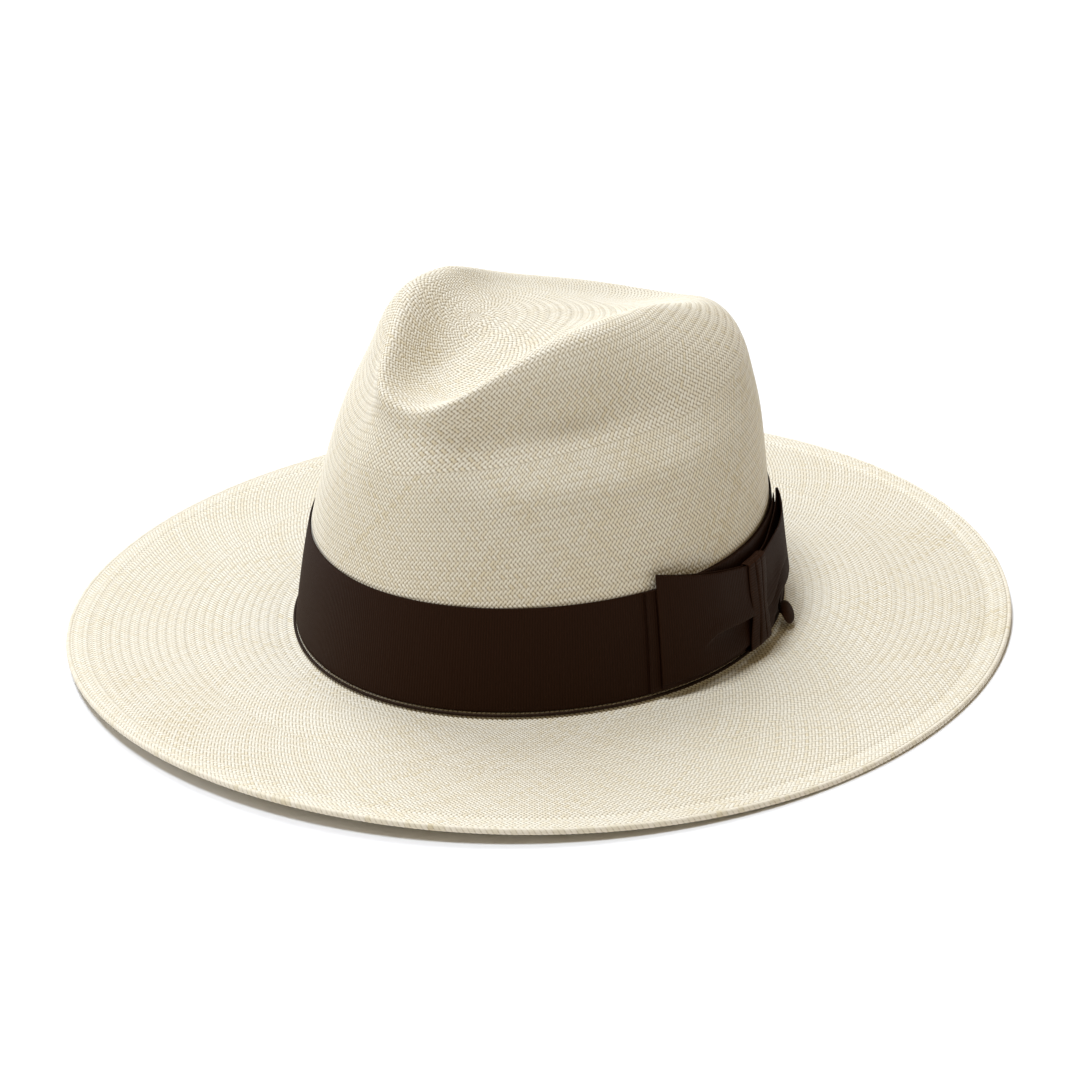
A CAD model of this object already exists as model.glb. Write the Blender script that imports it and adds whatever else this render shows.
"""Looks of the wide-brimmed straw hat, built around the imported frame. Metres, +Z up, front -Y."""
import math
import bpy
import numpy as np
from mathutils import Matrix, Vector


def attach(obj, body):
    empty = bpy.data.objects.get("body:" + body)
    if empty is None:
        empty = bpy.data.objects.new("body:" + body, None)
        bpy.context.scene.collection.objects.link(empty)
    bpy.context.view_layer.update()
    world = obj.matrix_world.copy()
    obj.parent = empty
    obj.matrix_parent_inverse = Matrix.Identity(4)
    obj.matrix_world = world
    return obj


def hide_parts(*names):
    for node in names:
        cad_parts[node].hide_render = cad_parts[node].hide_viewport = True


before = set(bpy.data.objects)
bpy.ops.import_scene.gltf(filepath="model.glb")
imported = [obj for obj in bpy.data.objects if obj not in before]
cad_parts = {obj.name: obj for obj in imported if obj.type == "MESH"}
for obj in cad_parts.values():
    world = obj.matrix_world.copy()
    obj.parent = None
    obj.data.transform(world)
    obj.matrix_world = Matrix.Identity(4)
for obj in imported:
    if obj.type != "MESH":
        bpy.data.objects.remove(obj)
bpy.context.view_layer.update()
MM = 0.001
rng = np.random.default_rng(7)

# ---- the hat's outside, the same line as the CAD's: millimetres ----
BRIM_HALF_X, BRIM_HALF_Y = 175.0, 190.2
BASE_HALF_X, BASE_HALF_Y = 90.6, 101.0
CROWN_Y = -2.1
BRIM_RISE, PLAIT_H = 4.7, 2.4
STRAW, BREAK, BRIM_RUN = 1.6, 3.0, 87.0
AROUND = [0, 10, 22, 40, 60, 85, 110, 135, 158, 180]
HOOPS = [  # height up the crown, share of the base oval, height over the floor
    (72, [.885, .885, .872, .85, .845, .865, .885, .9, .9, .9],
     [76.5, 76.5, 76.5, 77.5, 78.5, 79.5, 80.5, 81.5, 81.5, 81.5]),
    (94, [.85, .848, .81, .785, .78, .805, .84, .86, .865, .865],
     [95.5, 95.5, 94.5, 94.5, 95.5, 96.5, 97.5, 97.5, 96.5, 95.5]),
    (110, [.822, .818, .755, .715, .705, .72, .77, .81, .825, .835],
     [106.5, 107.5, 109.5, 111.5, 113.5, 113.5, 112.5, 110.5, 107.5, 105.5]),
    (128, [.79, .79, .69, .59, .55, .515, .56, .67, .735, .775],
     [113.5, 116.5, 123.5, 131.5, 134.5, 133.5, 129, 120.5, 114, 109.5]),
    (150, [.55, .55, .47, .41, .37, .34, .38, .45, .5, .53],
     [112.5, 113.5, 118.5, 125.5, 129.5, 130, 127.5, 122.5, 117.5, 114.5]),
]
TIP_AT, TIP_UP, RIM_AT, BAND_TO = 185.0, 126.5, 128.0, 41.4


def spline(xs, ys, flat_start=False, flat_end=False):
    """Cubic spline through (xs, ys); ys may hold many columns. Same as the CAD's."""
    xs, ys = np.asarray(xs, float), np.asarray(ys, float)
    n, h = len(xs), np.diff(xs)
    slope = (np.diff(ys, axis=0).T / h).T
    a, d = np.eye(n), np.zeros_like(ys)
    if flat_start:
        a[0, :2] = 2 * h[0], h[0]
        d[0] = 6 * slope[0]
    for i in range(1, n - 1):
        a[i, i - 1:i + 2] = h[i - 1], 2 * (h[i - 1] + h[i]), h[i]
        d[i] = 6 * (slope[i] - slope[i - 1])
    if flat_end:
        a[-1, -2:] = h[-1], 2 * h[-1]
        d[-1] = -6 * slope[-1]
    return xs, ys, np.linalg.solve(a, d)


def at(curve, x):
    """A spline's values at x: (len(x), columns), or one value per x for a plain curve."""
    xs, ys, m = curve
    x = np.asarray(x, float)
    i = np.clip(np.searchsorted(xs, x) - 1, 0, len(xs) - 2)
    h = xs[i + 1] - xs[i]
    p = (xs[i + 1] - x) / h
    q = 1 - p
    if ys.ndim > 1:
        h, p, q = h[:, None], p[:, None], q[:, None]
    return p * ys[i] + q * ys[i + 1] + ((p**3 - p) * m[i] + (q**3 - q) * m[i + 1]) * h * h / 6


def base_point(t):
    k = 1 - .018 * np.sin(2 * t)**2
    z = 7.3 - 4.5 * np.cos(t) + 1.15 * np.cos(2 * t)
    return np.stack([BASE_HALF_X * np.sin(t) * k, -BASE_HALF_Y * np.cos(t) * k, z], -1)


def edge_point(t):
    k = 1 + .007 * np.sin(2 * t)**2
    rise = BRIM_RISE * np.maximum(0, (np.abs(np.cos(t)) - .26) / .74)**1.375
    return np.stack([BRIM_HALF_X * np.sin(t) * k, -BRIM_HALF_Y * np.cos(t) * k, PLAIT_H / 2 + rise], -1)


def bump(t, v, angle, spread, height, reach):
    turn = (np.degrees(t) - angle + 180) % 360 - 180
    return np.exp(-(turn / spread)**2 - ((v - height) / reach)**2)


# Table of the crown over (angle, height), fine enough to look points up in.
TABLE_T = np.linspace(0, 2 * np.pi, 721)
TABLE_V = np.linspace(0, TIP_AT, 741)


def crown_table():
    t = TABLE_T
    side = np.abs((np.degrees(t) + 180) % 360 - 180)
    base = base_point(t)
    out = [np.ones_like(t), .942 - .007 * np.cos(t) - .006 * np.sin(t)**2]
    up = [base[:, 2], base[:, 2] + BAND_TO]
    for _, o, u in HOOPS:
        out.append(at(spline(AROUND, o, True, True), side))
        up.append(at(spline(AROUND, u, True, True), side))
    out.append(np.zeros_like(t))
    up.append(np.full_like(t, TIP_UP))
    heights = [0, BAND_TO] + [h[0] for h in HOOPS] + [TIP_AT]
    v = TABLE_V[:, None]
    k = at(spline(heights, np.array(out)), TABLE_V)
    z = at(spline(heights, np.array(up), False, True), TABLE_V)
    k = k - .112 * bump(t, v, 54, 34, 102, 12) + .018 * bump(t, v, 52, 36, 84, 9) - .03 * bump(t, v, -50, 25, 106, 10)
    k = k + .012 * (bump(t, v, 125, 35, 85, 28) + bump(t, v, -125, 35, 85, 28))
    z = z + 7 * np.sin(t) * np.maximum(0, -np.cos(t)) * np.exp(-((v - 128) / 30)**2)
    return np.stack([base[:, 0] * k, base[:, 1] * k + CROWN_Y, z], -1)


CROWN = crown_table()


def crown_point(t, v):
    """Point of the crown's outside at angle t and height v, by smooth look-up."""
    ft = (t % (2 * np.pi)) / (TABLE_T[1])
    fv = np.clip(v, 0, TIP_AT) / TABLE_V[1]
    i = np.minimum(ft.astype(int), len(TABLE_T) - 2)
    j = np.minimum(fv.astype(int), len(TABLE_V) - 2)
    a, b = (ft - i)[..., None], (fv - j)[..., None]
    return ((CROWN[j, i] * (1 - a) + CROWN[j, i + 1] * a) * (1 - b)
            + (CROWN[j + 1, i] * (1 - a) + CROWN[j + 1, i + 1] * a) * b)


def hat_point(t, s):
    """s < 0 lies on the brim, s > 0 on the crown, with a round turn between."""
    t, s = np.broadcast_arrays(np.asarray(t, float), np.asarray(s, float))
    foot, edge = base_point(t), edge_point(t)
    foot[..., 1] += CROWN_Y
    edge[..., 2] += STRAW / 2
    brim = foot + (edge - foot) * (np.maximum(-s, BREAK) / BRIM_RUN)[..., None]
    wall = crown_point(t, np.maximum(s, BREAK))
    k = np.clip((s + BREAK) / (2 * BREAK), 0, 1)[..., None]
    near = foot + (edge - foot) * (BREAK / BRIM_RUN)
    turn = near * (1 - k)**2 + foot * 2 * k * (1 - k) + crown_point(t, np.full_like(t, BREAK)) * k * k
    s = s[..., None]
    return np.where(s <= -BREAK, brim, np.where(s >= BREAK, wall, turn))


def hat_normal(t, s):
    e, a = .35, .006
    along_s = hat_point(t, s + e) - hat_point(t, s - e)
    along_t = hat_point(t + a, s) - hat_point(t - a, s)
    n = np.cross(along_t, along_s)
    return n / np.maximum(np.linalg.norm(n, axis=-1, keepdims=True), 1e-9)


def off_point(t, s, off):
    t, s = np.broadcast_arrays(np.asarray(t, float), np.asarray(s, float))
    return hat_point(t, s) + hat_normal(t, s) * np.asarray(off, float)[..., None]


# ---- the weave: rings of straw from the brim's edge to the rosette on the crown ----
STRAND = 1.25  # width of one straw
CELL = STRAND * math.sqrt(2)  # pitch of the crossings along a ring
ROSETTE = (-18.0, -17.0)  # where the weave began, pulled off the middle by the blocking
ROPE_W = 1.6  # the rolled edge that shows outside the weave
EDGE_S = -(BRIM_RUN - ROPE_W)


def height_under_rim():
    """Height of the crown's top over (angle, share of the rim's distance)."""
    inner = TABLE_V >= RIM_AT
    share = np.linspace(0, 1, 121)
    base = base_point(TABLE_T)
    scale = np.hypot(base[:, 0], base[:, 1])
    out = np.hypot(CROWN[..., 0], CROWN[..., 1] - CROWN_Y) / scale
    rim = out[inner][0]
    table = np.empty((len(share), len(TABLE_T)))
    for i in range(len(TABLE_T)):
        table[:, i] = np.interp(share * rim[i], out[inner, i][::-1], CROWN[inner, i, 2][::-1])
    return share, rim, table


def look_up(table, f, t, f_step):
    """Bilinear look-up in a table over (f, angle)."""
    ft = (t % (2 * np.pi)) / TABLE_T[1]
    ff = np.clip(f / f_step, 0, len(table) - 1.001)
    i = np.minimum(ft.astype(int), len(TABLE_T) - 2)
    j = ff.astype(int)
    a, b = ft - i, ff - j
    if table.ndim == 3:
        a, b = a[..., None], b[..., None]
    return ((table[j, i] * (1 - a) + table[j, i + 1] * a) * (1 - b)
            + (table[j + 1, i] * (1 - a) + table[j + 1, i + 1] * a) * b)


def weave_paths():
    """Lines from the brim's edge over the rim to the rosette, each with evenly spaced steps."""
    share, rim, table = height_under_rim()
    v = TABLE_V[:, None]
    k = np.clip((v - RIM_AT) / (TIP_AT - RIM_AT), 0, 1)
    k = k * k * (3 - 2 * k)
    crown = CROWN.copy()
    crown[..., 0] += ROSETTE[0] * k
    crown[..., 1] += ROSETTE[1] * k
    top = TABLE_V > RIM_AT
    x, y = crown[top, :, 0] / BASE_HALF_X, (crown[top, :, 1] - CROWN_Y) / BASE_HALF_Y
    t = np.arctan2(x, -y) % (2 * np.pi)
    out = np.hypot(x, y) / (1 - .018 * np.sin(2 * t)**2)
    limit = np.interp(t, TABLE_T, rim)
    crown[top, :, 2] = look_up(table, np.minimum(out / limit, 1), t, share[1])
    brim_s = np.linspace(EDGE_S, 0, 168)
    brim = hat_point(TABLE_T[None], brim_s[:, None])
    lower = TABLE_V <= BREAK
    crown[lower] = hat_point(TABLE_T[None], TABLE_V[lower][:, None])
    parts = []
    for line, steps in ((brim, BRIM_STEPS), (crown, CROWN_STEPS)):
        length = np.linalg.norm(np.diff(line, axis=0), axis=-1)
        length = np.vstack([np.zeros(line.shape[1]), np.cumsum(length, axis=0)])
        even = np.empty((steps + 1, line.shape[1], 3))
        for i in range(line.shape[1]):
            wanted = np.linspace(0, length[-1, i], steps + 1)
            for c in range(3):
                even[:, i, c] = np.interp(wanted, length[:, i], line[:, i, c])
        parts.append(even)
    paths = np.vstack([parts[0], parts[1][1:]])
    for _ in range(3):  # takes the look-up's steps out
        paths[1:-1] = (paths[:-2] + 2 * paths[1:-1] + paths[2:]) / 4
    along_f = np.gradient(paths, axis=0)
    along_t = np.roll(paths[:, :-1], -1, 1) - np.roll(paths[:, :-1], 1, 1)
    along_t = np.concatenate([along_t, along_t[:, :1]], 1)
    n = np.cross(along_t, along_f)
    n /= np.maximum(np.linalg.norm(n, axis=-1, keepdims=True), 1e-9)
    n[-3:] = (0, 0, 1)
    return paths, n


WEAVE_DEPTH = .3
ROW = CELL / 4  # rings of vertices are a quarter of a crossing apart
BRIM_STEPS = round(86.2 / ROW)
CROWN_STEPS = round(182 / ROW)
PATHS, NORMALS = weave_paths()
RING_LENGTH = np.linalg.norm(np.diff(PATHS, axis=1), axis=-1).sum(1)


def zones():
    """(first ring, last ring, crossings round) for bands of rings with the same count of straws."""
    found, start = [], 0
    last = len(PATHS) - 1 - 3
    while start < last:
        count = max(6, round(RING_LENGTH[start] / (CELL * 1.13)))
        end = start
        while end < last and RING_LENGTH[end] > count * CELL * .86:
            end += 1
        if last - end < 6:
            end = last
        found.append((start, end, count))
        start = end + 1
    return found


def over_under(d):
    """Height of a straw along its run: 1 over two crossings, down to 0 under the next two."""
    d = np.abs((d + 2) % 4 - 2)
    return np.clip((1.15 - d) / .45, 0, 1)


def weave_height(a, b):
    """Relief and openness of a 2/2 twill at lattice place (a, b), multiples of a half.
    Relief: 1 on a straw's back, lower on its flanks and ends, 0 in the pinhole between straws."""
    i, j = np.floor(a), np.floor(b)
    whole_a, whole_b = a == i, b == j
    flank_a, flank_b = over_under(i - b), over_under(a - j - 3)
    flank = np.where(whole_b, flank_a, flank_b)
    relief = np.where(whole_a & whole_b, 0, np.where(whole_a | whole_b, .34 + .6 * flank, 1))
    light = np.where(whole_a & whole_b, 0, np.where(whole_a | whole_b, .62 + .38 * flank, 1))
    return relief, light


def zipper(lower, lower_t, upper, upper_t):
    """Triangles between two closed rings of vertices with different counts. Angles rise.
    Also gives each corner's angle and how far it is from the lower ring (0) to the upper (1)."""
    faces, corners = [], []
    n, m = len(lower), len(upper)
    j0, a, b = int(np.searchsorted(upper_t, lower_t[0])) % m, 0, 0

    def low(i):
        return lower[i % n], (lower_t[i % n] + 2 * np.pi * (i // n), 0)

    def high(i):
        return upper[(j0 + i) % m], (upper_t[(j0 + i) % m] + 2 * np.pi * ((j0 + i) // m), 1)

    while a < n or b < m:
        if b >= m or (a < n and low(a + 1)[1] < high(b + 1)[1]):
            three = low(a), low(a + 1), high(b)
            a += 1
        else:
            three = low(a), high(b + 1), high(b)
            b += 1
        faces.append(tuple(c[0] for c in three))
        corners.append([c[1] for c in three])
    return faces, np.array(corners)


def strip_lattice(corners, around, row, rise):
    """Lattice places for a zipped strip, running on from the zone below it."""
    p, q = corners[..., 0] * around / (2 * np.pi), row / 4 + corners[..., 1] * rise
    return np.stack([p + q, p - q], -1).reshape(-1, 2)


def straw_relief(row):
    """Smooth swells of the whole skin: the pressed hem inside the brim's edge."""
    inward = row * ROW
    return .16 * np.exp(-((inward - 2) / 5.4)**4) - .5 * np.exp(-((inward - 7.6) / .9)**2)


def build_straw():
    points, depth, faces, tone, lattice = [], [], [], [], []
    count = 0
    below_top = None
    for first, last, n in zones():
        rows = np.arange(first, last + 1)
        k = np.arange(2 * n)
        shift = .25 * (rows % 2)
        p = k[None] / 2 + shift[:, None]
        q = rows[:, None] / 4 + 0 * p
        t = 2 * np.pi * p / n
        base = look_up(PATHS, rows[:, None] + 0 * t, t, 1)
        normal = look_up(NORMALS, rows[:, None] + 0 * t, t, 1)
        normal /= np.linalg.norm(normal, axis=-1, keepdims=True)
        h, light = weave_height(p + q, p - q)
        seam = np.minimum(rows - first, last - rows)[:, None] == 0  # straws added here
        h, light = np.where(seam, .2 + .6 * h, h), np.where(seam, .1 + .75 * light, light)
        flat = np.exp(-((rows[:, None] * ROW - 2) / 6)**4)  # the hem is pressed smoother
        lift = (h - .7) * (WEAVE_DEPTH - .12 * flat) + straw_relief(rows[:, None])
        points.append((base + normal * lift[..., None]).reshape(-1, 3))
        depth.append((light + .3 * flat * (1 - light)).ravel())
        index = count + np.arange(len(rows) * 2 * n).reshape(len(rows), 2 * n)
        count += index.size
        tone_a = rng.random(n + 1)
        tone_b = rng.random(n + 1)
        if below_top is not None:
            strip, corners = zipper(*below_top, index[0], t[0])
            faces += strip
            tone += rng.random(len(strip)).tolist()
            lattice.append(strip_lattice(corners, below_n, first - 1, .25))
        else:
            outer_edge = (index[0], t[0])
        for r in range(len(rows) - 1):
            right = k if (first + r) % 2 == 0 else (k + 1) % (2 * n)
            left = (right - 1) % (2 * n)
            if r == 0:
                across = (k + 1) % (2 * n)
                up = index[1][k if (first + r) % 2 == 0 else across]
                faces += list(zip(index[0][k], index[0][across], up))
                tone += [.5] * (2 * n)
                pq = np.stack([[p[0], q[0]], [p[0] + .5, q[0]], [p[0] + .25, q[0] + .25]])
                lattice.append(np.stack([pq[:, 0] + pq[:, 1], pq[:, 0] - pq[:, 1]], -1).swapaxes(0, 1).reshape(-1, 2))
            a0, b0 = (p[r] + q[r])[:, None], (p[r] - q[r])[:, None]
            if r + 2 < len(rows):
                quad = np.stack([index[r], index[r + 1][right], index[r + 2], index[r + 1][left]], 1)
                steps = np.array([(0, 0), (.5, 0), (.5, -.5), (0, -.5)])
            else:
                quad = np.stack([index[r], index[r + 1][right], index[r + 1][left]], 1)
                steps = np.array([(0, 0), (.5, 0), (0, -.5)])
            faces += [tuple(f) for f in quad.tolist()]
            lattice.append(np.stack([a0 + steps[:, 0], b0 + steps[:, 1]], -1).reshape(-1, 2))
            mid_p, mid_q = p[r], q[r] + .25
            i, j = np.floor(mid_p + mid_q + 1e-6), np.floor(mid_p - mid_q + 1e-6)
            a_top = ((i - j) % 4) < 2
            tone += np.where(a_top, tone_a[(i % n).astype(int)], tone_b[(j % n).astype(int)]).tolist()
        below_top, below_n = (index[-1], t[-1]), n
    points.append(PATHS[-1, :1])
    depth.append(np.array([.5]))
    ring = below_top[0]
    faces += [(ring[i], ring[(i + 1) % len(ring)], count) for i in range(len(ring))]
    tone += [.5] * len(ring)
    lattice.append(np.full((3 * len(ring), 2), .5))
    count += 1

    # inside skin: one vertex for each crossing
    prev, thick = outer_edge, STRAW
    for first, last, n in zones():
        for row in range(first, last + 1, 4):
            t = 2 * np.pi * np.arange(n) / n
            at_row = np.full(n, float(row))
            normal = look_up(NORMALS, at_row, t, 1)
            p = look_up(PATHS, at_row, t, 1) - normal * (thick + .12 * (-1)**(row // 4))
            points.append(p)
            depth.append(np.full(n, .7 if (row // 4) % 2 else .45))
            index = count + np.arange(n)
            count += n
            if len(prev[0]) == n:
                a, b = prev[0], np.roll(prev[0], -1)
                faces += [tuple(f) for f in np.stack([a, index, np.roll(index, -1), b], 1).tolist()]
                tone += rng.random(n).tolist()
                p, q = np.arange(n)[:, None] + np.array([0, 0, 1, 1]), row / 4 + np.array([-1, 0, 0, -1])
                lattice.append(np.stack([p + q, p - q], -1).reshape(-1, 2))
            else:
                strip, corners = zipper(*prev, index, t)
                faces += [f[::-1] for f in strip]
                tone += rng.random(len(strip)).tolist()
                lattice.append(strip_lattice(corners[:, ::-1], n, row, 1))
            prev = (index, t)
    points.append(PATHS[-1, :1] - NORMALS[-1, :1] * thick)
    depth.append(np.array([.5]))
    ring = prev[0]
    faces += [(ring[(i + 1) % len(ring)], ring[i], count) for i in range(len(ring))]
    tone += [.5] * len(ring)
    lattice.append(np.full((3 * len(ring), 2), .5))
    return np.vstack(points) * MM, np.concatenate(depth), faces, np.array(tone), np.vstack(lattice)


def new_mesh(name, points, faces, smooth=True):
    mesh = bpy.data.meshes.new(name)
    sizes = np.array([len(f) for f in faces], np.int32)
    loops = np.fromiter((i for f in faces for i in f), np.int32, int(sizes.sum()))
    mesh.vertices.add(len(points))
    mesh.vertices.foreach_set("co", np.asarray(points, np.float32).ravel())
    mesh.loops.add(len(loops))
    mesh.loops.foreach_set("vertex_index", loops)
    mesh.polygons.add(len(faces))
    starts = np.concatenate([[0], np.cumsum(sizes)[:-1]]).astype(np.int32)
    mesh.polygons.foreach_set("loop_start", starts)
    mesh.update(calc_edges=True)
    mesh.validate()
    mesh.polygons.foreach_set("use_smooth", np.full(len(mesh.polygons), smooth))
    obj = bpy.data.objects.new(name, mesh)
    bpy.context.scene.collection.objects.link(obj)
    return obj


def add_values(obj, name, domain, values):
    layer = obj.data.attributes.new(name, "FLOAT", domain)
    layer.data.foreach_set("value", np.asarray(values, np.float32))


# ---- materials ----
def new_material(name):
    m = bpy.data.materials.new(name)
    m.use_nodes = True
    tree = m.node_tree
    tree.nodes.clear()
    out = tree.nodes.new("ShaderNodeOutputMaterial")
    shader = tree.nodes.new("ShaderNodeBsdfPrincipled")
    tree.links.new(shader.outputs["BSDF"], out.inputs["Surface"])
    return m, tree, shader


def node(tree, kind, inputs=None, **settings):
    """A new node; an input's value is a number, a colour, or another node's output."""
    n = tree.nodes.new(kind)
    for key, value in settings.items():
        setattr(n, key, value)
    for key, value in (inputs or {}).items():
        if isinstance(value, bpy.types.NodeSocket):
            tree.links.new(value, n.inputs[key])
        else:
            n.inputs[key].default_value = value
    return n


def rgb(text):
    """Linear colour from #rrggbb."""
    c = [int(text[i:i + 2], 16) / 255 for i in (1, 3, 5)]
    return tuple((x / 12.92 if x <= .04045 else ((x + .055) / 1.055)**2.4) for x in c) + (1,)


def ramp(tree, factor, *stops):
    n = tree.nodes.new("ShaderNodeValToRGB")
    tree.links.new(factor, n.inputs["Fac"])
    items = n.color_ramp.elements
    while len(items) > 1:
        items.remove(items[0])
    for i, (place, colour) in enumerate(stops):
        item = items[0] if i == 0 else items.new(place)
        item.position = place
        item.color = rgb(colour)
    return n.outputs["Color"]


def noise(tree, where, scale, detail=3, roughness=.5):
    return node(tree, "ShaderNodeTexNoise", {
        "Vector": where, "Scale": scale, "Detail": detail, "Roughness": roughness}).outputs["Fac"]


def mixed(tree, factor, a, b, blend="MIX"):
    n = node(tree, "ShaderNodeMix", data_type="RGBA", blend_type=blend)
    for socket, value in ((n.inputs[0], factor), (n.inputs[6], a), (n.inputs[7], b)):
        if isinstance(value, bpy.types.NodeSocket):
            tree.links.new(value, socket)
        else:
            socket.default_value = value
    return n.outputs[2]


def attribute(tree, name):
    return node(tree, "ShaderNodeAttribute", attribute_name=name).outputs["Fac"]


def object_place(tree):
    return node(tree, "ShaderNodeTexCoord").outputs["Object"]


def bump_into(tree, shader, height, strength, distance):
    n = node(tree, "ShaderNodeBump", {"Height": height, "Strength": strength, "Distance": distance})
    tree.links.new(n.outputs["Normal"], shader.inputs["Normal"])


def maths(tree, operation, *values):
    return node(tree, "ShaderNodeMath", dict(enumerate(values)), operation=operation).outputs[0]


def ease(tree, value, low, high):
    n = node(tree, "ShaderNodeMapRange", {"Value": value, "From Min": low, "From Max": high},
             interpolation_type="SMOOTHSTEP")
    return n.outputs[0]


def weave_pattern(tree):
    """2/2 twill from the lattice place: distance from a straw's sides and from its ends, and which set is on top."""
    place = node(tree, "ShaderNodeSeparateXYZ", {
        "Vector": node(tree, "ShaderNodeAttribute", attribute_name="lattice").outputs["Vector"]})
    a, b = place.outputs["X"], place.outputs["Y"]
    i, j = maths(tree, "FLOOR", a), maths(tree, "FLOOR", b)
    turn = maths(tree, "FLOORED_MODULO", maths(tree, "SUBTRACT", i, j), 4.0)
    a_top = maths(tree, "LESS_THAN", turn, 1.5)

    def pick(when_a, when_b):
        return node(tree, "ShaderNodeMix", {0: a_top, 2: when_b, 3: when_a}, data_type="FLOAT").outputs[0]

    across = pick(maths(tree, "FRACT", a), maths(tree, "FRACT", b))
    side = maths(tree, "SUBTRACT", .5, maths(tree, "ABSOLUTE", maths(tree, "SUBTRACT", across, .5)))
    run = pick(maths(tree, "SUBTRACT", b, i), maths(tree, "SUBTRACT", maths(tree, "SUBTRACT", a, j), 3.0))
    run = maths(tree, "SUBTRACT", maths(tree, "FLOORED_MODULO", maths(tree, "ADD", run, 2.0), 4.0), 2.0)
    end = maths(tree, "SUBTRACT", 1.0, maths(tree, "ABSOLUTE", run))
    return side, end, a_top


def straw_material(name, pale, gold, tan, crease, woven=True, fibre=2600):
    m, tree, shader = new_material(name)
    where = object_place(tree)
    wide = noise(tree, where, 26, 3)
    spread = maths(tree, "MULTIPLY_ADD", wide, .5, maths(tree, "MULTIPLY", attribute(tree, "tone"), .7))
    colour = ramp(tree, spread, (.14, tan), (.3, gold), (.75, pale), (1, pale))
    fine = noise(tree, where, fibre, 2, .6)
    colour = mixed(tree, .14, colour, ramp(tree, fine, (.3, tan), (.7, "#ffffff")), "MULTIPLY")
    cavity = ramp(tree, attribute(tree, "cavity"), (0, crease), (.75, "#ffffff"))
    colour = mixed(tree, .8, colour, cavity, "MULTIPLY")
    height = fine
    if woven:
        side, end, a_top = weave_pattern(tree)
        body = maths(tree, "MULTIPLY", ease(tree, side, -.02, .16), ease(tree, end, -.06, .22))
        share = maths(tree, "MULTIPLY_ADD", a_top, .45, .42)  # one set of straws lies a little prouder
        colour = mixed(tree, share, colour, ramp(tree, body, (0, crease), (.8, "#ffffff")), "MULTIPLY")
        ridge = maths(tree, "MULTIPLY", ease(tree, side, 0, .42), ease(tree, end, 0, .75))
        height = maths(tree, "MULTIPLY_ADD", fine, .12, ridge)
    tree.links.new(colour, shader.inputs["Base Color"])
    rough = node(tree, "ShaderNodeMapRange", {"Value": fine, "To Min": .46, "To Max": .7})
    tree.links.new(rough.outputs[0], shader.inputs["Roughness"])
    shader.inputs["Specular IOR Level"].default_value = .35
    shader.inputs["Sheen Weight"].default_value = .08
    shader.inputs["Sheen Roughness"].default_value = .4
    bump_into(tree, shader, height, .55 if woven else .25, .0003)
    return m


def cloth_material(name, dark, light, rough=.6, sheen=.03, threads=3800):
    """Dark ribbed ribbon or cord: colour from the depth of the ribs, thread grain in the bump."""
    m, tree, shader = new_material(name)
    where = object_place(tree)
    fine = noise(tree, where, threads, 2, .6)
    wide = noise(tree, where, 60, 3)
    level = attribute(tree, "cavity")
    mix = node(tree, "ShaderNodeMath", {0: fine, 1: .45, 2: level}, operation="MULTIPLY_ADD").outputs[0]
    mix = node(tree, "ShaderNodeMath", {0: wide, 1: .3, 2: mix}, operation="MULTIPLY_ADD").outputs[0]
    colour = ramp(tree, mix, (.25, dark), (1.45, light))
    tree.links.new(colour, shader.inputs["Base Color"])
    grain = node(tree, "ShaderNodeMapRange", {"Value": fine, "To Min": rough - .08, "To Max": rough + .12})
    tree.links.new(grain.outputs[0], shader.inputs["Roughness"])
    shader.inputs["Specular IOR Level"].default_value = .14
    shader.inputs["Specular Tint"].default_value = (1, .72, .5, 1)
    shader.inputs["Sheen Weight"].default_value = sheen
    shader.inputs["Sheen Roughness"].default_value = .35
    shader.inputs["Sheen Tint"].default_value = rgb("#8a5a3a")
    bump_into(tree, shader, fine, .35, .00015)
    return m


# ---- solids from grids of points ----
def grid_faces(rows, columns, round_rows, round_columns, start=0, flip=False):
    i = np.arange(rows if round_rows else rows - 1)
    j = np.arange(columns if round_columns else columns - 1)
    a, b = np.meshgrid(i, j, indexing="ij")
    a2, b2 = (a + 1) % rows, (b + 1) % columns
    quads = np.stack([a * columns + b, a2 * columns + b, a2 * columns + b2, a * columns + b2], -1)
    quads = quads.reshape(-1, 4) + start
    return quads[:, ::-1] if flip else quads


def tube_solid(name, rings, closed, values=None, cap_rise=0):
    """A closed mesh through rings (n, m, 3) of points in millimetres; open ends get caps."""
    n, m = rings.shape[:2]
    points = rings.reshape(-1, 3)
    faces = [tuple(f) for f in grid_faces(n, m, closed, True).tolist()]
    extra = []
    if not closed:
        for i, side in ((0, -1), (n - 1, 1)):
            mid = rings[i].mean(0)
            step = mid - rings[1 if i == 0 else n - 2].mean(0)
            step /= max(np.linalg.norm(step), 1e-9)
            extra.append(mid + step * cap_rise)
            centre = n * m + len(extra) - 1
            for j in range(m):
                a, b = i * m + j, i * m + (j + 1) % m
                faces.append((centre, a, b) if side > 0 else (centre, b, a))
    if extra:
        points = np.vstack([points, extra])
    if volume_sign(points, faces) < 0:
        faces = [f[::-1] for f in faces]
    obj = new_mesh(name, points * MM, faces)
    if values is None:
        values = np.full(n * m, .8)
    values = np.concatenate([np.asarray(values, float).ravel(), np.full(len(extra), .8)])
    add_values(obj, "cavity", "POINT", values)
    return obj


def volume_sign(points, faces):
    fan = [(f[0], f[k], f[k + 1]) for f in faces for k in range(1, len(f) - 1)]
    tri = points[np.array(fan)]
    return np.einsum("ij,ij->i", tri[:, 0], np.cross(tri[:, 1], tri[:, 2])).sum()


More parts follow.
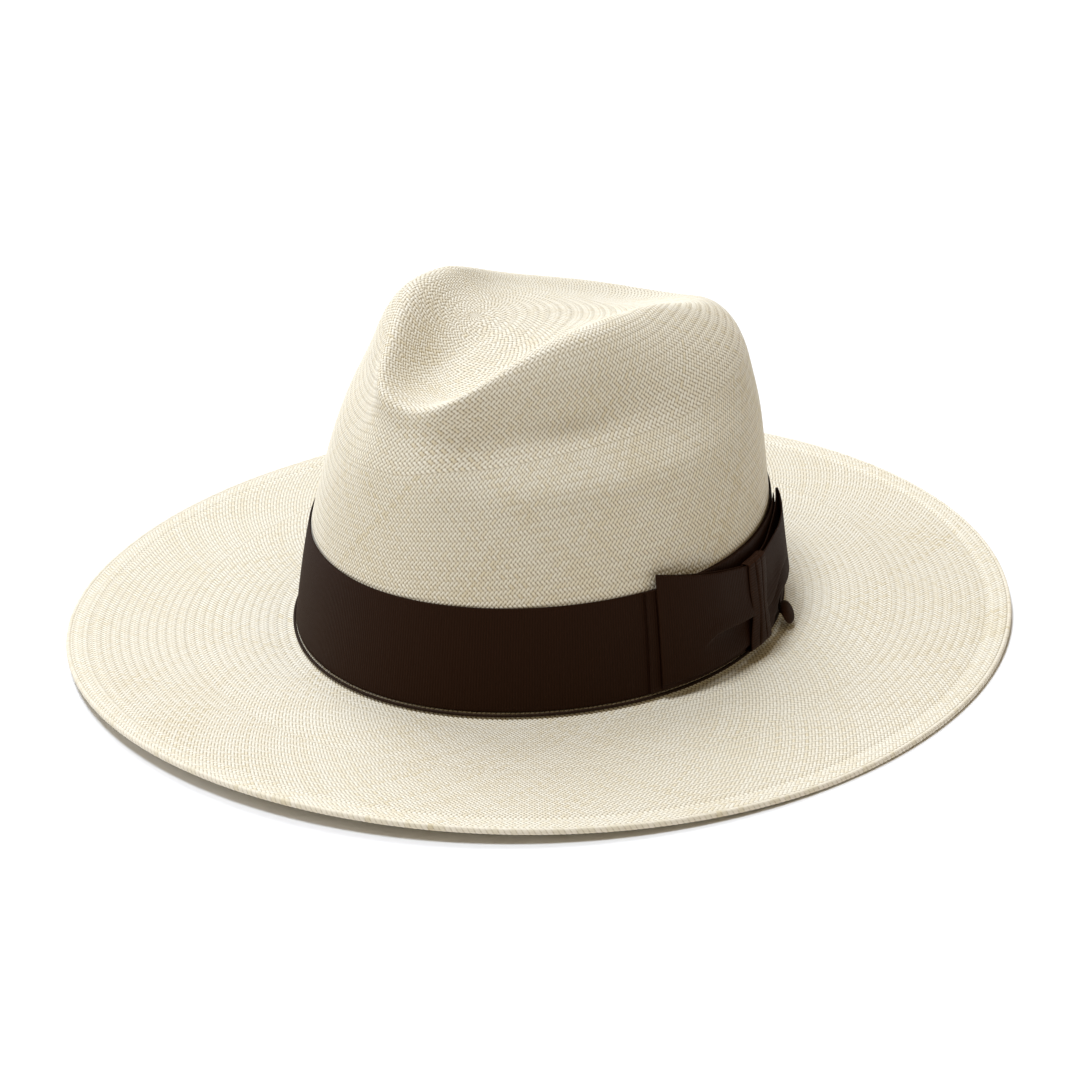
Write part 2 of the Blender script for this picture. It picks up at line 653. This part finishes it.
def ribs(length, pitch, relief):
    """Relief of the ribs of a ribbon at a place along it, from -relief to 0, and 0..1 cavity."""
    wave = np.abs(np.cos(np.pi * length / pitch))
    return relief * (wave**.7 - 1), wave**.7


def shown(obj, material, body, *replaced, slot=None):
    obj.data.materials.clear()
    obj.data.materials.append(material)
    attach(obj, body)
    if replaced:
        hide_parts(*replaced)
    return obj


# ---- straw ----
STRAW_OUT = straw_material("straw_weave", "#f4eedd", "#efe6cf", "#e6dabb", "#8f7b4e")
EDGE_STRAW = straw_material("edge_straw", "#f0e8d6", "#e8dfc8", "#d8caa6", "#94825c", woven=False)

points, cavity, faces, tone, lattice = build_straw()
body = new_mesh("straw_weave", points, faces)
add_values(body, "cavity", "POINT", cavity)
add_values(body, "tone", "FACE", tone)
lattice_layer = body.data.attributes.new("lattice", "FLOAT2", "CORNER")
lattice_layer.data.foreach_set("vector", lattice.astype(np.float32).ravel())
shown(body, STRAW_OUT, "hat", "straw_body", slot="straw")
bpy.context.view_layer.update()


def build_edge():
    """The woven-off edge: slanted stitches lying side by side round the rim."""
    count = round(2 * np.pi * 183 / 2.1)
    per = 8
    t = np.linspace(0, 2 * np.pi, count * per, endpoint=False)
    sides = 18
    a = np.linspace(0, 2 * np.pi, sides, endpoint=False)
    phase = np.arange(count * per)[:, None] / per + a[None] / (2 * np.pi) * 2
    wave = np.abs(np.sin(np.pi * phase))**.5
    edge = edge_point(t)
    ahead = edge_point(t + .01) - edge_point(t - .01)
    outward = np.stack([ahead[:, 1], -ahead[:, 0], 0 * t], -1)
    outward /= np.linalg.norm(outward, axis=-1, keepdims=True)
    half_w, half_h = (ROPE_W + .35) / 2, PLAIT_H / 2
    ca, sa = np.cos(a), np.sin(a)
    full = (np.abs(ca)**2.6 + np.abs(sa)**2.6)**(-1 / 2.6)
    grow = 1 - .2 * (1 - wave)
    out = half_w * (ca * full)[None] * grow - half_w
    up = half_h * (sa * full)[None] * grow
    ring = edge[:, None] + outward[:, None] * out[..., None]
    ring[..., 2] += up
    tones = np.repeat(rng.random(count), per)
    return ring, wave, tones


ring, wave, tones = build_edge()
edge = tube_solid("brim_edge", ring, True, .15 + .85 * wave)
edge_tone = np.repeat(tones, ring.shape[1])
add_values(edge, "tone", "FACE", edge_tone)
shown(edge, EDGE_STRAW, "hat", "brim_edge_plait", slot="edge_straw")


# ---- ribbon: band, bow layers, knot ----
RIBBON = .6
RIB = 1.0  # pitch of the ribs
KNOT_AT, WING = 97.0, 30.0
BAND_IN, BAND_FROM = .4, 2.2


def ribbon_solid(name, angles, low, high, inner, outer, rows, relief=.13, waves=None, closed=False):
    """Ribbon following the crown. low, high, inner and outer are arrays or numbers over the angles;
    waves(angle, h) moves both skins. Ribs run up and down, and the edges are bound by a selvedge."""
    n = len(angles)
    low, high, inner, outer = (np.broadcast_to(np.asarray(v, float), n) for v in (low, high, inner, outer))
    mid = off_point(angles, (low + high) / 2, outer)
    length = np.concatenate([[0], np.cumsum(np.linalg.norm(np.diff(mid, axis=0), axis=-1))])
    rise, level = ribs(length, RIB, relief)
    h = np.concatenate([[0, .012, .03], np.linspace(.055, .945, rows), [.97, .988, 1]])
    bound = np.clip(np.minimum(h, 1 - h) / .03, 0, 1)  # 0 on the very edge
    s = low[:, None] + (high - low)[:, None] * h
    edge_round = -.25 * (1 - bound)**2
    groove = -.05 * np.exp(-((np.minimum(h, 1 - h) - .045) / .012)**2)
    picot = .12 * (1 - level)[:, None] * np.where(h < .5, 1, -1)[None] * (1 - bound)[None]
    off = outer[:, None] + rise[:, None] * (.35 + .65 * bound) + edge_round + groove
    back = inner[:, None] + .2 * (1 - bound)**2 + 0 * off
    if waves is not None:
        move = waves(angles[:, None], h[None])
        off, back = off + move, back + move
    front = off_point(angles[:, None], s + picot, off)
    rear = off_point(angles[:, None], s + picot, back)
    rings = np.concatenate([front, rear[:, ::-1]], 1)
    cavity = np.broadcast_to(level[:, None], s.shape) * (.75 + .25 * bound)
    values = np.concatenate([cavity, .6 + 0 * s], 1)
    return tube_solid(name, rings, closed, values)


def arc(start, end, off=1.0, step=RIB / 6, s=22):
    """Angles from start to end in degrees, a sixth of a rib apart along the hat."""
    rough = np.radians(np.linspace(start, end, 1500))
    p = off_point(rough, np.full_like(rough, s), np.full_like(rough, off))
    length = np.concatenate([[0], np.cumsum(np.linalg.norm(np.diff(p, axis=0), axis=-1))])
    return np.interp(np.arange(0, length[-1], step), length, rough)


RIBBON_CLOTH = cloth_material("grosgrain", "#0b0301", "#231007")
KNOT_CLOTH = cloth_material("grosgrain_knot", "#0d0502", "#281308")
CORD_CLOTH = cloth_material("wind_cord_braid", "#0a0503", "#22150e", .55)


def band_waves(t, h):
    """Slight slack of a sewn band: its edges lie a little in and out."""
    w = .07 * np.sin(7 * t + 1.3) + .05 * np.sin(13 * t + 4)
    return w * (1 - np.sin(np.pi * h)) - .05 * np.sin(np.pi * h)


band = ribbon_solid("hatband", arc(98, 97.4 + 360), BAND_FROM, BAND_TO, BAND_IN, BAND_IN + RIBBON, 13,
                    waves=band_waves)
shown(band, RIBBON_CLOTH, "hat", "hatband_ribbon", slot="ribbon")

UNDER_IN = BAND_IN + RIBBON + .4
under = ribbon_solid("bow_under", arc(KNOT_AT - WING - 2.5, KNOT_AT + WING - 2.5), BAND_FROM + .4, BAND_TO,
                     UNDER_IN, UNDER_IN + RIBBON, 13)
shown(under, RIBBON_CLOTH, "hat", "bow_under_layer", slot="ribbon")

LOOP_IN = UNDER_IN + RIBBON + .4
WAIST_IN, WAIST_LOW, WAIST_HIGH = LOOP_IN + 1.2, 5.0, 36.5
PLY = .55  # one ply of the bow


def smooth(x, start, end):
    x = np.clip((x - start) / (end - start), 0, 1)
    return x * x * (3 - 2 * x)


def bow_place(turn, h, ply):
    """Bow loops: turn in degrees from the knot, h across the ribbon, ply 0 behind to 1 in front."""
    k = np.minimum(1, np.abs(turn) / WING)
    wide = smooth(k, .16, .55)
    flare = np.maximum(0, (k - .1) / .9)
    low = WAIST_LOW + np.where(turn < 0, -1.6 * flare, 9 * smooth(k, .1, .4))
    high = WAIST_HIGH + np.where(turn < 0, 10, 5) * flare
    inner = WAIST_IN + wide * (LOOP_IN - WAIST_IN)
    outer = inner + 2.4 + 1.8 * wide * np.sin(np.pi * k) - 1.2 * k**3
    return low + (high - low) * h, inner + (outer - inner) * ply


def across_rows(fold_at=None):
    """Places across a ribbon, closer at its edges and at a fold."""
    h = np.concatenate([[0, .012, .03], np.linspace(.055, .945, 30), [.97, .988, 1]])
    if fold_at is not None:
        h = np.sort(np.concatenate([h, fold_at + np.linspace(-.045, .045, 13)]))
    return h


FOLD_H = .33  # a pleat comes out of the knot a third of the way up


def pleat(turn, h):
    """Movement of the bow's front ply, in millimetres: a pleat that fades away from the knot."""
    k = np.abs(turn) / WING
    line = FOLD_H + .03 * smooth(k, .1, .5) - .14 * smooth(k, .5, .75)
    near = 1 - smooth(k, .3, .72)
    d = h - line
    step = 1 / (1 + np.exp(d / .008))
    under = step * np.exp(-(d / .24)**2)
    over = (1 - step) * np.exp(-(d / .16)**2)
    soft = .16 * np.sin(3.1 * h + 4 * k) * np.sin(np.pi * k)
    return near * (-(1.5 + .9 * smooth(k, .1, .35)) * under + .9 * over) + soft


def wing(name, side):
    """One loop of ribbon: out along the wall, folded, and back to the knot in front."""
    per_degree = np.linalg.norm(off_point(np.radians([97.0 + side * 14]), np.array([22.0]), np.array([4.0]))
                                - off_point(np.radians([97.0 + side * 15]), np.array([22.0]), np.array([4.0])))
    reach = WING * per_degree
    x = np.arange(1.5, reach, RIB / 6)
    _, inner = bow_place(side * x / per_degree, 0, 0)
    _, outer = bow_place(side * x / per_degree, 0, 1)
    back, front = inner + PLY / 2, outer - PLY / 2
    r = (front[-1] - back[-1]) / 2
    keep = x < reach - r - PLY / 2
    a = np.linspace(-np.pi / 2, np.pi / 2, 14)[1:-1]
    fold_x = reach - r - PLY / 2 + (r * np.cos(a))
    fold_y = (back[-1] + front[-1]) / 2 + r * np.sin(a)
    px = np.concatenate([x[keep], fold_x, x[keep][::-1]])
    py = np.concatenate([back[keep], fold_y, front[keep][::-1]])
    ply = np.concatenate([0 * x[keep], (np.sin(a) + 1) / 2, 0 * x[keep] + 1])
    step = np.hypot(np.gradient(px), np.gradient(py))
    nx, ny = -np.gradient(py) / step, np.gradient(px) / step  # points into the loop on the way out
    length = np.concatenate([[0], np.cumsum(np.hypot(np.diff(px), np.diff(py)))])
    rise, level = ribs(length, RIB, .13)
    h = across_rows(FOLD_H)
    bound = np.clip(np.minimum(h, 1 - h) / .03, 0, 1)
    turn = side * px / per_degree
    low, _ = bow_place(turn, 0, 0)
    high, _ = bow_place(turn, 1, 0)
    low = low + (2.2 if side < 0 else .9) * ply  # the front ply ends a little higher
    s = low[:, None] + (high - low)[:, None] * h
    s = s + .12 * (1 - level)[:, None] * np.where(h < .5, 1, -1) * (1 - bound)
    move = ply[:, None]**3 * pleat(turn[:, None], h[None])
    half = PLY / 2 - .1 * (1 - bound)[None]
    skin_out = -(half + rise[:, None])
    skin_in = half + 0 * skin_out
    rings = []
    for skin in (skin_out, skin_in):
        qx = px[:, None] + nx[:, None] * skin
        qy = py[:, None] + ny[:, None] * skin + move
        t = np.radians(KNOT_AT + side * qx / per_degree)
        rings.append(off_point(t, s, qy))
    rings = np.concatenate([rings[0], rings[1][:, ::-1]], 1)
    cavity = np.broadcast_to(level[:, None], s.shape) * (.75 + .25 * bound)
    crease = np.exp(-np.abs(h[None] - FOLD_H + .015) / .02) * (1 - smooth(np.abs(turn), 12, 20))[:, None] * ply[:, None]
    values = np.concatenate([cavity * (1 - .5 * crease), .5 + 0 * s], 1)
    return tube_solid(name, rings, False, values)


front_wing = wing("bow_front_wing", -1)
shown(front_wing, RIBBON_CLOTH, "hat", "bow_loops", slot="ribbon")
rear_wing = wing("bow_rear_wing", 1)
shown(rear_wing, RIBBON_CLOTH, "hat", "bow_loops", slot="ribbon")


def knot():
    """Ribbon wrapped round the waist of the bow, with two lengthwise pleats on its face."""
    low, high = WAIST_LOW - .7, WAIST_HIGH + .7
    inner, outer = WAIST_IN - .7, WAIST_IN + 2.4 + .7
    corner = 1.1
    path = []
    mid_s, mid_o = (low + high) / 2, (inner + outer) / 2
    half_s, half_o = (high - low) / 2, (outer - inner) / 2
    for start, cs, co in ((0, 1, 1), (90, -1, 1), (180, -1, -1), (270, 1, -1)):
        for a in np.radians(np.linspace(start, start + 90, 7)):
            path.append((mid_s + cs * (half_s - corner) + corner * np.cos(a),
                         mid_o + co * (half_o - corner) + corner * np.sin(a)))
    path = np.array(path + path[:1])
    length = np.concatenate([[0], np.cumsum(np.linalg.norm(np.diff(path, axis=0), axis=1))])
    total = round(length[-1] / RIB) * RIB * length[-1] / (round(length[-1] / RIB) * RIB)
    n = round(length[-1] / RIB) * 6
    at_length = np.linspace(0, total, n, endpoint=False)
    s, o = np.interp(at_length, length, path[:, 0]), np.interp(at_length, length, path[:, 1])
    ds = np.roll(s, -1) - np.roll(s, 1)
    do = np.roll(o, -1) - np.roll(o, 1)
    norm = np.hypot(ds, do)
    ns, no = do / norm, -ds / norm
    outward = np.sign(ns * (s - mid_s) + no * (o - mid_o))
    ns, no = ns * outward, no * outward
    rise, level = ribs(at_length, total / round(length[-1] / RIB), .12)
    x = np.sort(np.concatenate([np.linspace(-1, 1, 25), [-.985, .985],
                                -.38 + np.linspace(-.06, .06, 9), .3 + np.linspace(-.06, .06, 9)]))
    face = np.clip((no + .3) / .6, 0, 1)
    face = (face * np.clip((half_s + 1 - np.abs(s - mid_s)) / 4, 0, 1))[:, None]
    middle = ((s - mid_s) / half_s)[:, None]
    bend = .1 * (1 - middle**2)
    crease_a, crease_b = -.38 + bend, .3 - .3 * bend
    lobe = (1.0 * np.tanh(np.abs(x - crease_a) / .05) * np.tanh(np.abs(x - crease_b) / .05))
    steps = .25 * (x > crease_a) - .1 * (x > crease_b)
    swell = .5 * (1 - x**2) + .75 * (lobe - 1) + steps - .3
    swell = swell * face
    half_angle = 3.6 - .9 * np.exp(-((middle + .1) / .45)**2) * face
    bound = np.clip((1 - np.abs(x)) / .06, 0, 1)
    lean = .5 * middle - .9 + 1.1 * np.minimum(x, 0) * (.5 - .5 * middle)
    t = np.radians(KNOT_AT + lean + x[None] * half_angle)  # its foot is wider and leans to the front
    half = .3 - .12 * (1 - bound)[None]
    rings = []
    for sign in (1, -1):
        d = sign * half + (rise[:, None] if sign > 0 else 0) + swell * (1 if sign > 0 else .8)
        rings.append(off_point(t, s[:, None] + ns[:, None] * d, o[:, None] + no[:, None] * d))
    rings = np.concatenate([rings[0], rings[1][:, ::-1]], 1)
    cavity = (level[:, None] * (.2 + .8 * np.clip(lobe, 0, 1) * face + .8 * (1 - face))) + 0 * x
    values = np.concatenate([np.clip(cavity, 0, 1), .5 + 0 * cavity], 1)
    return tube_solid("bow_knot_wrap", rings, True, values)


shown(knot(), KNOT_CLOTH, "hat", "bow_knot", slot="ribbon")


# ---- wind cord and its button ----
def cord_rings(centre, across, up, radius, sides=12, ply=3, twist_per_mm=.55, relief=.13):
    """A twisted cord along points: across and up are unit vectors at each point."""
    length = np.concatenate([[0], np.cumsum(np.linalg.norm(np.diff(centre, axis=0), axis=1))])
    a = np.linspace(0, 2 * np.pi, sides, endpoint=False)
    wave = np.abs(np.cos(.5 * ply * (a[None] - length[:, None] * twist_per_mm)))**.8
    r = radius * (1 - relief * (1 - wave))
    rings = centre[:, None] + across[:, None] * (r * np.cos(a))[..., None] + up[:, None] * (r * np.sin(a))[..., None]
    return rings, wave


def ring_cord(name, s, off, radius, step, sides=12, twist=.55, relief=.13, dip=None):
    rough = np.linspace(0, 2 * np.pi, 2881)
    p = off_point(rough, np.full_like(rough, s), np.full_like(rough, off))
    length = np.concatenate([[0], np.cumsum(np.linalg.norm(np.diff(p, axis=0), axis=1))])
    n = round(length[-1] / step)
    along = np.linspace(0, length[-1], n, endpoint=False)
    t = np.interp(along, length, rough)
    move = dip(along, length[-1]) if dip else 0 * t
    centre = off_point(t, np.full_like(t, s), off + move)
    up = off_point(t, np.full_like(t, s), off + move + .5) - centre
    up /= np.linalg.norm(up, axis=1, keepdims=True)
    ahead = np.roll(centre, -1, 0) - np.roll(centre, 1, 0)
    ahead /= np.linalg.norm(ahead, axis=1, keepdims=True)
    across = np.cross(ahead, up)
    turns = round(twist * length[-1] / (2 * np.pi) * 3) / 3 * 2 * np.pi / length[-1]
    rings, wave = cord_rings(centre, across, up, radius, sides, 3, turns, relief)
    return tube_solid(name, rings, True, .2 + .8 * wave)


CORD_S, CORD_OFF, CORD_R = .2, 1.0, .6
shown(ring_cord("wind_cord_braid", CORD_S, CORD_OFF, CORD_R, .3, twist=1.6), CORD_CLOTH, "hat", "wind_cord",
      slot="cord")

BUTTON_AT = math.radians(109.5)
hinge = off_point(np.array([BUTTON_AT]), np.array([CORD_S]), np.array([CORD_OFF]))[0]
one = np.array([BUTTON_AT])
outwards = (hat_point(one, np.array([-12.0])) - hat_point(one, np.array([-6.0])))[0]
outwards /= np.linalg.norm(outwards)
ahead = (base_point(one + .01) - base_point(one - .01))[0]
ahead[2] = 0
ahead /= np.linalg.norm(ahead)
upward = np.cross(outwards, ahead)
upward *= np.sign(upward[2])


def place(out, along, up):
    out, along, up = np.broadcast_arrays(out, along, up)
    return hinge + out[..., None] * outwards + along[..., None] * ahead + up[..., None] * upward


def button_loop():
    """Short cord from the back of the button up behind the rear loop of the bow."""
    knots = np.array([(2.5, 0, 3.1), (1.2, .4, 4.0), (.35, 2.2, 7.2), (.4, 4.0, 11.5)])
    length = np.concatenate([[0], np.cumsum(np.linalg.norm(np.diff(knots, axis=0), axis=1)**.5)])
    k = np.linspace(0, length[-1], 60)
    path = sum(knots[i] * np.prod([(k[:, None] - length[j]) / (length[i] - length[j])
                                   for j in range(4) if j != i], axis=0) for i in range(4))
    centre = place(*path.T)
    tangent = np.gradient(centre, axis=0)
    tangent /= np.linalg.norm(tangent, axis=1, keepdims=True)
    rise = np.cross(tangent, np.broadcast_to(ahead, tangent.shape))
    rise /= np.linalg.norm(rise, axis=1, keepdims=True)
    rings, wave = cord_rings(centre, np.cross(rise, tangent), rise, .5, 12, 3, 1.6)
    return tube_solid("button_loop", rings, False, .2 + .8 * wave, cap_rise=.1)


shown(button_loop(), CORD_CLOTH, "hat", "wind_button_loop", slot="cord")

BUTTON_R, BUTTON_OUT, BUTTON_UP, BUTTON_LEAN = 4.7, 4.0, 3.9, math.radians(30.4)


def button():
    """Covered button: a domed face, a turned rim with gathered cloth and a flat back."""
    lat = np.linspace(-np.pi / 2 + .03, np.pi / 2 - .03, 44)[:, None]
    a = np.linspace(0, 2 * np.pi, 96, endpoint=False)[None]
    low = np.sin(lat) < 0
    round_off = np.abs(np.cos(lat))**np.where(low, .35, .8)
    gather = .03 * np.cos(24 * a) * np.exp(-((lat + .3) / .3)**2)
    radius = BUTTON_R * round_off * (1 + gather)
    thread = np.cos(radius * np.cos(a) * 2 * np.pi / .75)
    shown_part = np.clip(np.sin(lat) + .4, 0, 1)
    deep = np.where(low, .7, 2.0) * np.sin(lat) + .045 * thread * shown_part
    out = BUTTON_OUT + deep * math.cos(BUTTON_LEAN) - radius * np.sin(a) * math.sin(BUTTON_LEAN)
    up = BUTTON_UP + deep * math.sin(BUTTON_LEAN) + radius * np.sin(a) * math.cos(BUTTON_LEAN)
    rings = place(out, radius * np.cos(a), up)
    values = .55 + .45 * thread * shown_part - 9 * np.abs(gather)
    return tube_solid("covered_button", rings, False, np.clip(values, 0, 1), cap_rise=.03)


shown(button(), KNOT_CLOTH, "wind_button", "wind_button", slot="ribbon")


# ---- sweatband, reed, stitches and the tape over the join ----
def plain_material(name, dark, light, rough, scale=700, bump=.2):
    m, tree, shader = new_material(name)
    where = object_place(tree)
    fine = noise(tree, where, scale, 3, .6)
    tree.links.new(ramp(tree, fine, (.3, dark), (.7, light)), shader.inputs["Base Color"])
    grain = node(tree, "ShaderNodeMapRange", {"Value": fine, "To Min": rough - .08, "To Max": rough + .08})
    tree.links.new(grain.outputs[0], shader.inputs["Roughness"])
    bump_into(tree, shader, fine, bump, .0002)
    return m


SWEAT_FROM, SWEAT_TO, SWEAT_OFF, SWEAT = 3.0, 38.0, -2.1, 1.0


def sweatband():
    t = np.linspace(0, 2 * np.pi, 720, endpoint=False)
    h = np.concatenate([np.linspace(0, .04, 5), np.linspace(.07, .93, 26), np.linspace(.96, 1, 5)])
    s = SWEAT_FROM + (SWEAT_TO - SWEAT_FROM) * h
    slack = .1 * np.sin(9 * t + 1)[:, None] * h[None] + .06 * np.sin(23 * t)[:, None] * h[None]**2
    bound = np.clip(np.minimum(h, 1 - h) / .02, 0, 1)[None]
    pressed = .16 * np.exp(-((s - 5) / .6)**2)[None]  # the line of stitches sinks in
    near = SWEAT_OFF - .15 * (1 - bound) + 0 * slack
    far = SWEAT_OFF - SWEAT + .25 * (1 - bound) + pressed + slack * .8
    rings = np.concatenate([off_point(t[:, None], s[None], near), off_point(t[:, None], s[None], far)[:, ::-1]], 1)
    return tube_solid("sweatband_cloth", rings, True)


shown(sweatband(), plain_material("sweatband_cotton", "#bda276", "#d9c294", .8, 900, .3), "hat", "sweatband",
      slot="sweatband")
shown(ring_cord("sweatband_piping", 1.2, SWEAT_OFF - .9, .8, .9, 12, .3, .03),
      plain_material("reed_cover", "#8f7850", "#b59c70", .45), "hat", "sweatband_reed", slot="reed")


def stitch_dip(along, total):
    count = round(total / 3)
    return .3 * np.abs(np.sin(np.pi * along * count / total))**6


shown(ring_cord("sweatband_stitches", 5, SWEAT_OFF - SWEAT - .6, .26, .3, 8, 2.2, .15, dip=stitch_dip),
      plain_material("thread", "#bda679", "#e6d6b0", .6, 2500), "hat", "sweatband_stitching", slot="thread")

tape = ribbon_solid("join_tape", arc(176.2, 183.8, -3.5, RIB / 6, 20), 6.2, SWEAT_TO - 1,
                    SWEAT_OFF - SWEAT - .9, SWEAT_OFF - SWEAT - .45, 13, .06)
shown(tape, RIBBON_CLOTH, "hat", "sweatband_join_tape", slot="ribbon")


# ---- stage, light and camera ----
floor_mesh = bpy.data.meshes.new("floor")
SIZE = 6  # half its side, in metres
floor_mesh.from_pydata([(-SIZE, -SIZE, 0), (SIZE, -SIZE, 0), (SIZE, SIZE, 0), (-SIZE, SIZE, 0)], [], [(0, 1, 2, 3)])
floor = bpy.data.objects.new("floor", floor_mesh)
bpy.context.scene.collection.objects.link(floor)
floor.location.z = -.0003  # just clear of the straw's relief
m, tree, shader = new_material("floor_white")
shader.inputs["Base Color"].default_value = (.93, .93, .93, 1)
shader.inputs["Roughness"].default_value = .9
shader.inputs["Specular IOR Level"].default_value = .1
floor.data.materials.append(m)

world = bpy.data.worlds.new("studio")
bpy.context.scene.world = world
world.use_nodes = True
tree = world.node_tree
back = tree.nodes["Background"]
back.inputs["Color"].default_value = (1, .79, .5, 1)
back.inputs["Strength"].default_value = .28
white = node(tree, "ShaderNodeBackground", {"Color": (1, 1, 1, 1), "Strength": 1.0})
seen = node(tree, "ShaderNodeLightPath").outputs["Is Camera Ray"]
both = node(tree, "ShaderNodeMixShader", {0: seen, 1: back.outputs[0], 2: white.outputs[0]})
tree.links.new(both.outputs[0], tree.nodes["World Output"].inputs["Surface"])


def around(azimuth, elevation, distance):
    """Place seen at an azimuth and elevation from the middle of the hat, as the camera's are."""
    a, e = math.radians(azimuth), math.radians(elevation)
    return (distance * math.sin(a) * math.cos(e), -distance * math.cos(a) * math.cos(e), distance * math.sin(e))


def sun(name, azimuth, elevation, strength, softness, colour):
    light = bpy.data.lights.new(name, "SUN")
    light.energy = strength
    light.angle = math.radians(softness)
    light.color = colour
    o = bpy.data.objects.new(name, light)
    o.rotation_euler = Vector(around(azimuth, elevation, 1)).to_track_quat("Z", "Y").to_euler()
    bpy.context.scene.collection.objects.link(o)


sun("key", -128, 52, 1.7, 30, (.83, .895, 1))
sun("side", -62, 22, .6, 30, (.89, .93, 1))
sun("over", -40, 76, 2.3, 16, (.83, .895, 1))

AIM = Vector((0, -.0021, .0425))
camera_data = bpy.data.cameras.new("camera")
camera = bpy.data.objects.new("camera", camera_data)
bpy.context.scene.collection.objects.link(camera)
camera.location = AIM + Vector(around(36.08, 23.84, 1.5485))
camera.rotation_euler = (AIM - camera.location).to_track_quat("-Z", "Y").to_euler()
camera_data.sensor_width = 36
camera_data.lens = 135.12
camera_data.shift_y = -.0233
camera_data.clip_end = 50
bpy.context.scene.camera = camera
bpy.context.scene.view_settings.view_transform = "Standard"
